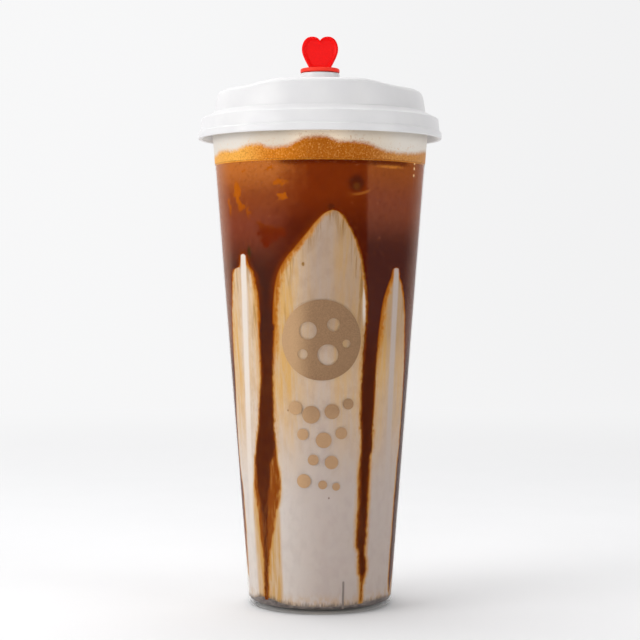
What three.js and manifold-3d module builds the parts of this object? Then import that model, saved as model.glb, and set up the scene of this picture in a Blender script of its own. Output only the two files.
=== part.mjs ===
// A tall frosted cup of layered milk tea, closed by a white lid with a red heart plug.
// Millimetres, +Z up, the origin at the centre of the base and the drinking side towards -Y.

import * as THREE from "three";
import { mergeVertices } from "three/addons/utils/BufferGeometryUtils.js";
import Module from "manifold-3d";

const wasm = await Module();
wasm.setup();

// Driving dimensions of the cup
const CUP_HEIGHT = 193.0;
const CUP_BASE_RADIUS = 28.55;
const CUP_TAPER = 0.0762;
const CUP_WALL = 0.7;
const BASE_CORNER = 2.75;
const BASE_RECESS = 0.8;
const FOOT_INNER_RADIUS = 24.4;
const FOOT_OUTER_RADIUS = 26.0;
const FLOOR_LEVEL = 2.0;
const FLOOR_CORNER = 2.0;
const BEAD_RADIUS = 1.3;
const BEAD_CENTRE_RADIUS = 43.75;
const RIB_ANGLES = [18, 138, 258];
const RIB_WIDTH = 0.8;
const RIB_DEPTH = 0.6;
const RIB_TOP = 13.3;

// Driving dimensions of the lid
const SKIRT_FOOT = 185.0;
const SKIRT_LIP_RADIUS = 48.4;
const SKIRT_LIP_TOP = 187.7;
const SKIRT_RADIUS = 47.1;
const SHOULDER_LEVEL = 193.3;
const LEDGE_LEVEL = 195.2;
const DOME_FOOT_RADIUS = 41.9;
const DOME_TOP_RADIUS = 40.9;
const DOME_CORNER = 2.4;
const DOME_LEVEL = 203.9;
const LID_WALL = 1.0;
const SEAL_FOOT = 190.6;
const DECK_RISE = 1.8;
const DECK_HALF_WIDTH = 14.5;
const DECK_SIDE_SLOPE = 15.5;
const DECK_BACK = -10;
const DECK_BACK_SLOPE = 12;

// Driving dimensions of the spout and its plug
const SPOUT_Y = -23;
const SPOUT_RADIUS = 7.6;
const SPOUT_BORE_RADIUS = 6.1;
const SPOUT_TOP = 208.6;
const FLANGE_RADIUS = 7.55;
const FLANGE_THICKNESS = 1.6;
const STEM_FOOT = 201.6;
const HEART_HALF_WIDTH = 7.0;
const HEART_TOP = 222.8;
const HEART_THICKNESS = 3.2;
const HEART_BORDER = 1.1;
const HEART_RECESS = 0.5;

// Driving dimensions of the drink
const DRINK_LEVEL = 174.5;
const CORE_LEVEL = 118;
const CORE_SHARE = 0.72;
const FLAME_FOOT = 91;
const RUN_TOP = 100;
const RUN_DEPTH = 1.4;
const RUN_EDGE = 0.2;
const FOAM_MIDDLE = 178.4;
const FOAM_EDGE = 177.3;

const GAP = 0.3;
const CUP_STEPS = 60;
const DRINK_STEPS = 90;
const THIN_STEPS = 72;

// Angles are in degrees round the cup from the drinking side, positive towards +X.
// Each rise of milk against the wall: its peak, how far it spreads to each side, its height.
const FLAMES = [
  { peak: 7, left: 38.5, right: 22, height: 155.5 },
  { peak: 50, left: 12.4, right: 21, height: 134 },
  { peak: 108, left: 15, right: 14, height: 143 },
  { peak: 150, left: 20, right: 16, height: 129 },
  { peak: 190, left: 16, right: 27, height: 149 },
  { peak: 243, left: 16, right: 23, height: 136 },
  { peak: 310, left: 24, right: 9, height: 139 },
];

// Each run of syrup down the wall between two rises: its middle at the top, how far it drifts
// sideways, half its width at the top, how much it swells half way down, its tip.
const RUNS = [
  { middle: -35, drift: -13, half: 4.6, swell: 6.5, tip: 8.5 },
  { middle: 33, drift: 1, half: 4.6, swell: 0, tip: 14.5 },
  { middle: 82, drift: 0, half: 10, swell: 1, tip: 12 },
  { middle: 126, drift: 3, half: 4, swell: 2, tip: 34 },
  { middle: 170, drift: -2, half: 4, swell: 4, tip: 12 },
  { middle: 222, drift: 2, half: 5, swell: 1, tip: 24 },
  { middle: 276, drift: -3, half: 9, swell: 0, tip: 17 },
];
const RUN_TIP_HALF = 2;

// Each hump of froth along the wall: its middle, half its width, its rise.
const HUMPS = [
  { middle: -2, half: 15, rise: 5.6 },
  { middle: -37, half: 12, rise: 3.0 },
  { middle: -63, half: 10, rise: 1.6 },
  { middle: 22, half: 11, rise: 3.0 },
  { middle: 80, half: 16, rise: 1.9 },
  { middle: 124, half: 20, rise: 3.6 },
  { middle: 178, half: 24, rise: 2.2 },
  { middle: 236, half: 18, rise: 4.0 },
];

// Each patch of syrup settled in the corner of the floor: its middle, half its width, its rise.
const PATCHES = [
  { middle: -48, half: 16, rise: 2.2 },
  { middle: 52, half: 22, rise: 1.0 },
  { middle: 130, half: 24, rise: 1.4 },
  { middle: 208, half: 26, rise: 1.8 },
];
const SYRUP_FLOOR = 2.3;
const SYRUP_LEVEL = 3.3;

// Small helpers for angles and curves
const radians = (degrees) => (degrees * Math.PI) / 180;
const clamp = (value) => Math.min(1, Math.max(0, value));
const ease = (value) => {
  const share = clamp(value);
  return share * share * (3 - 2 * share);
};

function turnFrom(angle, middle) {
  return ((angle - middle + 540) % 360) - 180;
}

function bell(angle, { middle, half, rise }) {
  const share = turnFrom(angle, middle) / half;
  return rise * Math.exp(-share * share);
}

function sumOfBells(angle, bells) {
  return bells.reduce((sum, item) => sum + bell(angle, item), 0);
}

function arc(centreRadius, centreZ, radius, fromDegrees, toDegrees, steps) {
  const points = [];
  for (let step = 0; step <= steps; step += 1) {
    const angle = radians(fromDegrees + ((toDegrees - fromDegrees) * step) / steps);
    points.push([centreRadius + radius * Math.cos(angle), centreZ + radius * Math.sin(angle)]);
  }
  return points;
}

// A closed solid turned about the Z axis. The outline runs from the axis at the bottom, out,
// up and back to the axis at the top, and may change from angle to angle. Every face is split
// from its inner corner to the outer one beside it, so that two facing surfaces match.
function turnedSolid(outlineAt, steps) {
  const outlines = [];
  for (let step = 0; step < steps; step += 1) {
    outlines.push(outlineAt((step * 360) / steps));
  }
  const last = outlines[0].length - 1;
  const rings = last - 1;
  const positions = [0, 0, outlines[0][0][1], 0, 0, outlines[0][last][1]];
  const indices = [];
  for (let step = 0; step < steps; step += 1) {
    const angle = radians((step * 360) / steps);
    for (let ring = 1; ring < last; ring += 1) {
      const [radius, z] = outlines[step][ring];
      positions.push(radius * Math.sin(angle), -radius * Math.cos(angle), z);
    }
    const here = 2 + step * rings;
    const next = 2 + ((step + 1) % steps) * rings;
    indices.push(0, next, here);
    for (let ring = 0; ring < rings - 1; ring += 1) {
      const inward = outlines[step][ring + 2][0] < outlines[step][ring + 1][0];
      const [a, b, c, d] = [here + ring, next + ring, next + ring + 1, here + ring + 1];
      indices.push(...(inward ? [a, b, d, b, c, d] : [a, b, c, a, c, d]));
    }
    indices.push(here + rings - 1, next + rings - 1, 1);
  }
  const geometry = new THREE.BufferGeometry();
  geometry.setAttribute("position", new THREE.Float32BufferAttribute(positions, 3));
  geometry.setIndex(indices);
  return geometry;
}

// A ring or disc turned on a lathe and stood upright
function lathed(points, segments) {
  const profile = points.map(([radius, z]) => new THREE.Vector2(radius, z));
  return new THREE.LatheGeometry(profile, segments).rotateX(Math.PI / 2);
}

// Booleans
function toManifold(geometry) {
  const bare = geometry.clone();
  bare.deleteAttribute("normal");
  bare.deleteAttribute("uv");
  const merged = mergeVertices(bare, 1e-4);
  const corners = merged.index.array;
  const kept = [];
  for (let start = 0; start < corners.length; start += 3) {
    const [a, b, c] = [corners[start], corners[start + 1], corners[start + 2]];
    if (a !== b && b !== c && c !== a) {
      kept.push(a, b, c);
    }
  }
  return new wasm.Manifold(new wasm.Mesh({
    numProp: 3,
    vertProperties: new Float32Array(merged.attributes.position.array),
    triVerts: new Uint32Array(kept),
  }));
}

function toGeometry(solid) {
  const { vertProperties, triVerts } = solid.getMesh();
  const geometry = new THREE.BufferGeometry();
  geometry.setAttribute("position", new THREE.BufferAttribute(vertProperties, 3));
  geometry.setIndex(new THREE.BufferAttribute(triVerts, 1));
  return geometry;
}

// The cup
function wallRadius(z) {
  return CUP_BASE_RADIUS + CUP_TAPER * z;
}

// Radius of the hollow inside the cup, with its rounded corner at the floor
function hollowRadius(z) {
  const cornerTop = FLOOR_LEVEL + FLOOR_CORNER;
  if (z >= cornerTop) {
    return wallRadius(z) - CUP_WALL;
  }
  const drop = Math.min(FLOOR_CORNER, cornerTop - z);
  const bow = Math.sqrt(FLOOR_CORNER ** 2 - drop ** 2);
  return wallRadius(cornerTop) - CUP_WALL - FLOOR_CORNER + bow;
}

function cupOutline() {
  const beadCentreZ = CUP_HEIGHT - BEAD_RADIUS;
  const neckZ = beadCentreZ - 2.6;
  const floorEdge = wallRadius(FLOOR_LEVEL + FLOOR_CORNER) - CUP_WALL - FLOOR_CORNER;
  return [
    [0, BASE_RECESS],
    [FOOT_INNER_RADIUS - BASE_RECESS, BASE_RECESS],
    [FOOT_INNER_RADIUS, 0],
    ...arc(FOOT_OUTER_RADIUS, BASE_CORNER, BASE_CORNER, -90, 0, 4),
    [wallRadius(neckZ), neckZ],
    ...arc(BEAD_CENTRE_RADIUS, beadCentreZ, BEAD_RADIUS, -110, 170, 6),
    [hollowRadius(neckZ), neckZ],
    ...arc(floorEdge, FLOOR_LEVEL + FLOOR_CORNER, FLOOR_CORNER, 0, -90, 3),
    [0, FLOOR_LEVEL],
  ];
}

// An upright bar against the inside of the wall, grown on every side by the clearance
function wallRib(angle, clearance) {
  const height = RIB_TOP - FLOOR_LEVEL;
  const sunk = CUP_WALL / 2;
  const bar = new THREE.BoxGeometry(
    RIB_WIDTH + 2 * clearance,
    RIB_DEPTH + sunk + clearance,
    height + 2 * clearance,
  );
  const middle = FLOOR_LEVEL + height / 2;
  bar.rotateX(Math.atan(CUP_TAPER));
  bar.translate(0, -(hollowRadius(middle) + (sunk - RIB_DEPTH - clearance) / 2), middle);
  bar.rotateZ(radians(angle));
  return toManifold(bar);
}

function cupGeometry() {
  const outline = cupOutline();
  let solid = toManifold(turnedSolid(() => outline, CUP_STEPS));
  for (const angle of RIB_ANGLES) {
    solid = solid.add(wallRib(angle, 0));
  }
  return toGeometry(solid);
}

// The lid
function deckRise(x, y) {
  const across = 1 - ease((Math.abs(x) - DECK_HALF_WIDTH) / DECK_SIDE_SLOPE);
  const along = 1 - ease((y - DECK_BACK) / DECK_BACK_SLOPE);
  return DECK_RISE * across * along;
}

function lidOutline() {
  const inner = DOME_TOP_RADIUS - LID_WALL;
  const innerTop = DOME_LEVEL - LID_WALL;
  const innerCorner = DOME_CORNER - LID_WALL;
  const grooveTop = SHOULDER_LEVEL - LID_WALL;
  const top = [];
  const under = [];
  for (const radius of [30, 20, 10]) {
    top.push([radius, DOME_LEVEL]);
    under.unshift([radius, innerTop]);
  }
  return [
    [0, innerTop],
    ...under,
    ...arc(inner - innerCorner, innerTop - innerCorner, innerCorner, 90, 0, 2),
    [DOME_FOOT_RADIUS - LID_WALL, LEDGE_LEVEL],
    [DOME_FOOT_RADIUS - LID_WALL, SEAL_FOOT],
    [DOME_FOOT_RADIUS - 0.2, SEAL_FOOT],
    [DOME_FOOT_RADIUS - 0.1, grooveTop + 1.3],
    [44.2, grooveTop + 0.9],
    [45.7, grooveTop - 0.2],
    [45.7, 190.0],
    [44.8, 188.4],
    [46.9, SKIRT_FOOT],
    [SKIRT_LIP_RADIUS, SKIRT_FOOT],
    [SKIRT_LIP_RADIUS + 0.1, SKIRT_FOOT + 0.9],
    [SKIRT_LIP_RADIUS - 0.5, SKIRT_LIP_TOP],
    [SKIRT_RADIUS + 0.4, SKIRT_LIP_TOP + 0.5],
    [SKIRT_RADIUS, SHOULDER_LEVEL - 1.0],
    [SKIRT_RADIUS - 0.8, SHOULDER_LEVEL],
    [DOME_FOOT_RADIUS + 0.8, LEDGE_LEVEL - 0.1],
    [DOME_FOOT_RADIUS, LEDGE_LEVEL + 0.6],
    ...arc(DOME_TOP_RADIUS - DOME_CORNER, DOME_LEVEL - DOME_CORNER, DOME_CORNER, 5, 90, 3),
    ...top,
    [0, DOME_LEVEL],
  ];
}

function liftedPoint([radius, z], angle) {
  const turn = radians(angle);
  const share = ease((z - LEDGE_LEVEL) / (DOME_LEVEL - LID_WALL - DOME_CORNER - LEDGE_LEVEL));
  return [radius, z + share * deckRise(radius * Math.sin(turn), -radius * Math.cos(turn))];
}

function spoutTube() {
  const foot = DOME_LEVEL + DECK_RISE - LID_WALL / 2;
  const inner = SPOUT_BORE_RADIUS - 0.5;
  return lathed([
    [inner, foot],
    [SPOUT_RADIUS + 0.4, foot],
    [SPOUT_RADIUS, foot + 1.0],
    [SPOUT_RADIUS, SPOUT_TOP - 0.3],
    [SPOUT_RADIUS - 0.3, SPOUT_TOP],
    [inner, SPOUT_TOP],
    [inner, foot],
  ], 32).translate(0, SPOUT_Y, 0);
}

function lidGeometry() {
  const outline = lidOutline();
  const shell = turnedSolid((angle) => outline.map((point) => liftedPoint(point, angle)), CUP_STEPS);
  const bore = new THREE.CylinderGeometry(SPOUT_BORE_RADIUS, SPOUT_BORE_RADIUS, 20, 32);
  bore.rotateX(Math.PI / 2).translate(0, SPOUT_Y, SPOUT_TOP);
  const solid = toManifold(shell).add(toManifold(spoutTube())).subtract(toManifold(bore));
  return toGeometry(solid);
}

// The plug
function heartShape(shrink) {
  const half = HEART_HALF_WIDTH - shrink;
  const top = HEART_TOP - shrink;
  const notch = HEART_TOP - 1.5 - shrink * 1.5;
  const belly = HEART_TOP - 5.0;
  const foot = SPOUT_TOP + GAP + FLANGE_THICKNESS - 0.5 + shrink * 2.2;
  const footHalf = 3.0 - shrink * 0.9;
  const shape = new THREE.Shape();
  shape.moveTo(0, notch);
  shape.bezierCurveTo(0.06 * half, notch + 0.9, 0.22 * half, top, 0.44 * half, top);
  shape.bezierCurveTo(0.8 * half, top, half, belly + 2.6, half, belly);
  shape.bezierCurveTo(half, belly - 2.2, footHalf + 1.2, foot + 2.6, footHalf, foot);
  shape.lineTo(-footHalf, foot);
  shape.bezierCurveTo(-footHalf - 1.2, foot + 2.6, -half, belly - 2.2, -half, belly);
  shape.bezierCurveTo(-half, belly + 2.6, -0.8 * half, top, -0.44 * half, top);
  shape.bezierCurveTo(-0.22 * half, top, -0.06 * half, notch + 0.9, 0, notch);
  return shape;
}

function heartSlab(shrink, thickness, middleY) {
  const slab = new THREE.ExtrudeGeometry(heartShape(shrink), {
    depth: thickness,
    bevelEnabled: false,
    curveSegments: 7,
  });
  return slab.translate(0, 0, -thickness / 2).rotateX(Math.PI / 2).translate(0, middleY, 0);
}

function plugGeometry() {
  const flangeFoot = SPOUT_TOP + GAP;
  const flangeTop = flangeFoot + FLANGE_THICKNESS;
  const stemRadius = SPOUT_BORE_RADIUS - GAP;
  const turned = lathed([
    [0, STEM_FOOT],
    [stemRadius - 1, STEM_FOOT],
    [stemRadius, STEM_FOOT + 1],
    [stemRadius, flangeFoot],
    [FLANGE_RADIUS - 0.3, flangeFoot],
    [FLANGE_RADIUS, flangeFoot + 0.3],
    [FLANGE_RADIUS, flangeTop - 0.4],
    [FLANGE_RADIUS - 0.4, flangeTop],
    [0, flangeTop],
  ], 36).translate(0, SPOUT_Y, 0);
  let solid = toManifold(turned).add(toManifold(heartSlab(0, HEART_THICKNESS, SPOUT_Y)));
  for (const side of [-1, 1]) {
    const faceY = SPOUT_Y + (side * HEART_THICKNESS) / 2;
    solid = solid.subtract(toManifold(heartSlab(HEART_BORDER, 2 * HEART_RECESS, faceY)));
  }
  return toGeometry(solid);
}

// The drink
function flameHeight(angle, flame) {
  const turn = turnFrom(angle, flame.peak);
  const spread = turn < 0 ? flame.left : flame.right;
  const share = Math.abs(turn) / spread;
  if (share >= 1) {
    return 0;
  }
  return FLAME_FOOT + (flame.height - FLAME_FOOT) * (1 - share ** 1.1) ** 0.3;
}

// Where the milk ends and the tea begins along the wall
function wallLine(angle) {
  return Math.max(FLAME_FOOT, ...FLAMES.map((item) => flameHeight(angle, item)));
}

// The same border inside the drink: level in the core, sloping to the wall line at the wall
function borderHeight(share, angle) {
  const outward = clamp((share - CORE_SHARE) / (1 - CORE_SHARE));
  return CORE_LEVEL + (wallLine(angle) - CORE_LEVEL) * outward;
}

// The milk keeps clear of the tea above it and beside it, also where the border is steep
function milkTop(share, angle) {
  const step = 360 / DRINK_STEPS;
  const sideways = 0.2;
  const here = borderHeight(share, angle);
  const beside = [-step, step].map((turn) => borderHeight(share, angle + turn));
  return here + sideways * Math.min(0, ...beside.map((height) => height - here)) - GAP;
}

function syrupTop(share, angle) {
  return SYRUP_LEVEL + sumOfBells(angle, PATCHES) * ease((share - 0.8) / 0.2);
}

function foamTop(share, angle) {
  const edge = FOAM_EDGE + sumOfBells(angle, HUMPS);
  const froth = 0.35 * Math.sin(radians(5 * angle + 40)) * Math.sin(Math.PI * share);
  return FOAM_MIDDLE + (edge - FOAM_MIDDLE) * ease((share - 0.45) / 0.55) + froth;
}

// A point inside the cup: a share of the way from the axis to the wall, at a height
function insidePoint(share, z) {
  return [share * (hollowRadius(z) - GAP), z];
}

const BORDER_SHARES = [CORE_SHARE / 2, CORE_SHARE, 0.86, 1];
const THIN_SHARES = [0.6, 0.84, 1];

function upward(shares, heightAt, angle) {
  return shares.map((share) => insidePoint(share, heightAt(share, angle)));
}

// A solid through a stack of sections that all have the same number of corners
function stackedSolid(sections) {
  const corners = sections[0].length;
  const positions = sections.flat(2);
  const indices = [];
  for (let level = 0; level < sections.length - 1; level += 1) {
    for (let corner = 0; corner < corners; corner += 1) {
      const here = level * corners + corner;
      const next = level * corners + ((corner + 1) % corners);
      indices.push(here, next, next + corners, here, next + corners, here + corners);
    }
  }
  const top = (sections.length - 1) * corners;
  for (let corner = 1; corner < corners - 1; corner += 1) {
    indices.push(0, corner + 1, corner);
    indices.push(top, top + corner, top + corner + 1);
  }
  const geometry = new THREE.BufferGeometry();
  geometry.setAttribute("position", new THREE.Float32BufferAttribute(positions, 3));
  geometry.setIndex(indices);
  return geometry;
}

// One level of a run: flat against the wall, rounded towards the milk
function runSection({ middle, drift, half, swell, tip }, fall, clearance) {
  const z = RUN_TOP + (tip - clearance - RUN_TOP) * fall;
  const wall = hollowRadius(z) - GAP;
  const bulge = swell * Math.exp(-(((fall - 0.5) / 0.22) ** 2));
  const taper = half + (RUN_TIP_HALF - half) * fall;
  const reach = taper + bulge + THREE.MathUtils.radToDeg(clearance / wall);
  const centre = middle + drift * ease(fall);
  const depth = RUN_DEPTH * (1 - 0.5 * fall);
  const corners = [];
  const place = (share, radius) => {
    const turn = radians(centre + share * reach);
    corners.push([radius * Math.sin(turn), -radius * Math.cos(turn), z]);
  };
  for (const share of [-1, -0.35, 0.35, 1]) {
    place(share, wall + clearance);
  }
  for (const share of [1, 0.5, -0.5, -1]) {
    place(share, wall - RUN_EDGE - depth * (1 - share ** 2) - clearance);
  }
  return corners;
}

function runSolid(run, clearance) {
  const falls = [1, 0.8, 0.65, 0.5, 0.35, 0.2, 0];
  return toManifold(stackedSolid(falls.map((fall) => runSection(run, fall, clearance))));
}

function withoutRibs(solid) {
  return RIB_ANGLES.reduce((kept, angle) => kept.subtract(wallRib(angle, GAP)), solid);
}

function syrupGeometry() {
  const pool = turnedSolid((angle) => [
    [0, SYRUP_FLOOR],
    insidePoint(1, SYRUP_FLOOR),
    insidePoint(1, SYRUP_FLOOR + 0.5),
    ...upward([...THIN_SHARES].reverse(), syrupTop, angle),
    [0, SYRUP_LEVEL],
  ], THIN_STEPS);
  return toGeometry(withoutRibs(toManifold(pool)));
}

function milkGeometry() {
  const milkFoot = (share, angle) => syrupTop(share, angle) + GAP;
  const body = turnedSolid((angle) => [
    [0, SYRUP_LEVEL + GAP],
    ...upward(THIN_SHARES, milkFoot, angle),
    ...upward([...BORDER_SHARES].reverse(), milkTop, angle),
    [0, CORE_LEVEL - GAP],
  ], DRINK_STEPS);
  const channelled = RUNS.reduce(
    (kept, run) => kept.subtract(runSolid(run, GAP)),
    toManifold(body),
  );
  return toGeometry(withoutRibs(channelled));
}

function teaGeometry() {
  const body = turnedSolid((angle) => [
    [0, CORE_LEVEL],
    ...upward(BORDER_SHARES, borderHeight, angle),
    insidePoint(1, DRINK_LEVEL),
    [0, DRINK_LEVEL],
  ], DRINK_STEPS);
  return toGeometry(RUNS.reduce((kept, run) => kept.add(runSolid(run, 0)), toManifold(body)));
}

function foamGeometry() {
  return turnedSolid((angle) => [
    [0, DRINK_LEVEL + GAP],
    insidePoint(1, DRINK_LEVEL + GAP),
    ...upward([1, 0.9, 0.75, 0.6, 0.3], foamTop, angle),
    [0, FOAM_MIDDLE],
  ], THIN_STEPS);
}

// Materials
function plain(colour, roughness) {
  return new THREE.MeshStandardMaterial({ color: colour, roughness, metalness: 0 });
}

function frosted() {
  const material = plain(0xe9e6e1, 0.4);
  material.transparent = true;
  material.opacity = 0.35;
  return material;
}

const PIECES = [
  ["cup", cupGeometry(), frosted()],
  ["syrup", syrupGeometry(), plain(0x43362f, 0.4)],
  ["milk", milkGeometry(), plain(0xcfc0b6, 0.5)],
  ["tea", teaGeometry(), plain(0x6a3312, 0.35)],
  ["foam", foamGeometry(), plain(0xb87a33, 0.9)],
  ["lid", lidGeometry(), plain(0xf1f1f1, 0.3)],
  ["plug", plugGeometry(), plain(0xe81a12, 0.35)],
];

const bubbleTea = new THREE.Group();
for (const [name, geometry, material] of PIECES) {
  const mesh = new THREE.Mesh(geometry, material);
  mesh.name = name;
  bubbleTea.add(mesh);
}

export default bubbleTea;
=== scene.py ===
"""Bubble tea: a frosted cup of layered milk tea, its lid and heart plug, over the frame."""
import math

import bmesh
import bpy
import numpy as np
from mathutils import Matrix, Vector, noise


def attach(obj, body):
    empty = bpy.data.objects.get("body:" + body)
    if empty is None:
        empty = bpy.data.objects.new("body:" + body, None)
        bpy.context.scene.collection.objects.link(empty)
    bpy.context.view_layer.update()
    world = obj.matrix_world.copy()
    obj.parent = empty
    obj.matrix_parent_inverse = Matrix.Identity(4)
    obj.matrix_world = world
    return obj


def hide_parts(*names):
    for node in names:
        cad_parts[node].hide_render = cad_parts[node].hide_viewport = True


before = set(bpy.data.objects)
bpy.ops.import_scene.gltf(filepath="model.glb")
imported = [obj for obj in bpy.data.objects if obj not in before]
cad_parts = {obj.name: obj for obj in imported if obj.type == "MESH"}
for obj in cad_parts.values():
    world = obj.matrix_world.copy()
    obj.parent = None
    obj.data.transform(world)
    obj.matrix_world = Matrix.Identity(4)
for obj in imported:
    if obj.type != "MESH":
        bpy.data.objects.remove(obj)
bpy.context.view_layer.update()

MM = 0.001

# Sizes in millimetres, as in the frame
CUP_HEIGHT = 193.0
CUP_BASE_RADIUS = 28.55
CUP_TAPER = 0.0762
CUP_WALL = 0.7
BEAD_RADIUS = 1.3
FLOOR_LEVEL = 2.0
FLOOR_CORNER = 2.0
BASE_CORNER = 2.75
RIB_ANGLES = (18, 138, 258)
RIB_TOP = 13.3
DRINK_LEVEL = 174.5
CORE_LEVEL = 118.0
CORE_SHARE = 0.72
FLAME_FOOT = 91.0
RUN_TOP = 112.0
DOME_LEVEL = 203.9
DOME_CORNER = 2.4
LEDGE_LEVEL = 195.2
SHOULDER_LEVEL = 193.3
SKIRT_FOOT = 185.0
LID_WALL = 1.0
DECK_RISE = 1.8
SPOUT_Y = -23.0
SPOUT_RADIUS = 7.6
SPOUT_BORE_RADIUS = 6.1
SPOUT_TOP = 208.6
HEART_TOP = 222.8

# How far the drink reaches into the wall, the gap between its layers, and how fine the turned
# pieces are
REACH = 0.3
GAP = 0.02
ROUND_STEPS = 240

# The rises of milk against the wall that the photo shows: a peak angle in degrees from the
# drinking side, how many millimetres the amber reaches in from the left and right edge, then rows
# of height, left edge and right edge in degrees from the peak.
FRONT_FLAMES = (
    (7, 3.8, 1.2, (
        (155.7, 0, 0), (155.2, -2.6, 2.8), (153.6, -6, 5.6), (151, -9.6, 8), (147, -14.3, 11.6),
        (142, -20.5, 15), (136, -28, 17.8), (129, -33, 19.6), (122, -35, 21.5), (114, -36, 22.2),
        (103, -37, 22.3), (91, -38.3, 20.6), (80, -39.5, 21), (60, -43, 24), (4, -50, 27),
    )),
    (-50, 1.6, 2.6, (
        (139.4, 0, 0), (138.8, -2.4, 2.4), (136, -3.2, 3.4), (134.4, -4.6, 5.0),
        (133.2, -11.5, 6.6), (131, -13.6, 8.2), (127, -15, 9.6), (121.5, -17, 10.9),
        (114, -19.5, 11.3),
        (102, -21.4, 10.5), (91, -22, 9.6), (80, -25, 8), (60, -33, 12), (4, -36, 14),
    )),
    (50, 3.6, 1.6, (
        (134.0, 0, 0), (133.3, -2.6, 2.6), (130.5, -3.6, 4), (128.3, -5.4, 6.4), (125.4, -7.1, 8.5),
        (119.7, -9.7, 12), (113.9, -10.8, 14.4), (106, -11.9, 16.2), (97, -12.6, 18),
        (85, -12.2, 19.5), (60, -14.5, 24), (4, -17, 30),
    )),
)
# The rises behind, which the photo doesn't show: peak, spread to the left and right, height
BACK_FLAMES = ((108, 15, 14, 143), (150, 20, 16, 129), (190, 16, 27, 149), (243, 16, 23, 136))

# The runs of syrup down the wall: rows of height, then the left edge of the thin syrup, of the
# thick syrup, and the right edges of the thick and the thin, in degrees from the run's middle.
FRONT_RUNS = (
    (-36, (
        (112, -3.8, -3, 7, 8), (91, -4.8, -3.9, 4.8, 5.6), (85, -6.4, -5.7, 4.3, 5.1),
        (72, -9.4, -8.7, 4.3, 5.2), (66, -12.4, -11.4, 4.7, 5.8), (62.7, -14, -12.5, 4.4, 6.3),
        (59.6, -15.7, -13.6, 0.8, 6.7), (52, -17.2, -13.8, -1, 8), (47, -18.2, -13, -2.6, 7.6),
        (43.5, -17.2, -11.9, -3.4, 6.6), (39, -15.4, -11.3, -3.9, 3.6),
        (35, -14.7, -10.6, -4.9, 2.5), (28.6, -14, -10.4, -5.8, -1), (19, -12.5, -11, -7.1, -4.8),
        (13, -13.1, -11.6, -8.1, -6.2), (4, -14.5, -13, -9, -7),
    )),
    (33, (
        (112, -4.6, -4, 4.6, 5.4), (91, -6.2, -5.5, 4, 4.8), (79, -6.4, -5.6, 3.7, 4.5),
        (65, -5, -3.9, 3.8, 4.7), (60, -5.5, -4.2, 2.3, 3.5), (53, -6.1, -4.2, 2.3, 3.8),
        (43, -6.1, -3.7, 2.2, 3.6), (33, -6.2, -4.5, 2.4, 3.3), (28, -6.2, -4.8, 2.1, 3.4),
        (24.5, -4.7, -3.1, 1.8, 3.2), (18.3, -3.7, -2.3, 3.6, 4.6), (15.5, -3, -1.5, 3, 4.5),
        (13, -1.6, 0.9, 0.9, 3), (4, -1.2, 0.6, 0.6, 1.6),
    )),
    (82, (
        (112, -12, -11, 11, 12), (91, -12, -11, 11, 12), (72, -12, -11, 7, 9),
        (52, -13.5, -12.5, 5, 8), (40, -14, -13, 4, 6), (27, -14, -13, 0, 2),
        (14.5, -14, -13, -4, -2), (8, -13, -11, -7, -5), (5, -9, -8, -8, -7),
    )),
    (-84, (
        (112, -12, -11, 11, 12.5), (90, -12, -11, 10, 11.2), (57, -10, -8, 5, 7),
        (45, -8, -6, 9, 11), (35, -4, 1, 9, 11), (25, 0, 4, 8, 10), (17, 4, 6, 7, 8.5),
        (13, 6, 6.5, 6.5, 7),
    )),
)
# The runs behind: middle, half width at the top, swelling half way down, tip
BACK_RUNS = ((126, 4, 2, 34), (170, 4, 4, 12), (222, 5, 1, 24))

# Humps of froth along the wall: middle, half width, rise
HUMPS = (
    (-2, 15, 5.6), (-37, 12, 3.0), (-63, 10, 1.6), (22, 11, 3.0), (80, 16, 1.9),
    (124, 20, 3.6), (178, 24, 2.2), (236, 18, 4.0),
)
FOAM_MIDDLE = 178.4
FOAM_EDGE = 177.3

# Patches of syrup in the corner of the floor: middle, half width, rise
PATCHES = ((-48, 16, 2.2), (52, 22, 1.0), (130, 24, 1.4), (208, 26, 1.8))
SYRUP_LEVEL = 3.3


# Numbers and outlines
def ease(value):
    share = min(1.0, max(0.0, value))
    return share * share * (3 - 2 * share)


def turn_from(angle, middle):
    return (angle - middle + 540) % 360 - 180


def sum_of_bells(angle, bells):
    return sum(rise * math.exp(-((turn_from(angle, middle) / half) ** 2))
               for middle, half, rise in bells)


def arc(centre_radius, centre_z, radius, start, end, steps):
    angles = [math.radians(start + (end - start) * step / steps) for step in range(steps + 1)]
    return [(centre_radius + radius * math.cos(angle), centre_z + radius * math.sin(angle))
            for angle in angles]


def wall_radius(z):
    return CUP_BASE_RADIUS + CUP_TAPER * z


def hollow_radius(z):
    corner_top = FLOOR_LEVEL + FLOOR_CORNER
    if z >= corner_top:
        return wall_radius(z) - CUP_WALL
    drop = min(FLOOR_CORNER, corner_top - z)
    bow = math.sqrt(FLOOR_CORNER ** 2 - drop ** 2)
    return wall_radius(corner_top) - CUP_WALL - FLOOR_CORNER + bow


def drink_point(share, z):
    return share * (hollow_radius(z) + REACH), z


def back_flame_rows(left, right, height):
    rows = []
    for share in (0, 0.08, 0.25, 0.5, 0.75, 0.9, 0.97, 1.0):
        z = FLAME_FOOT + (height - FLAME_FOOT) * (1 - share ** 1.1) ** 0.3
        rows.append((z, -left * share, right * share))
    for z, spread in ((76, 1.12), (60, 1.3), (4, 1.5)):
        rows.append((z, -left * spread, right * spread))
    return rows


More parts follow.
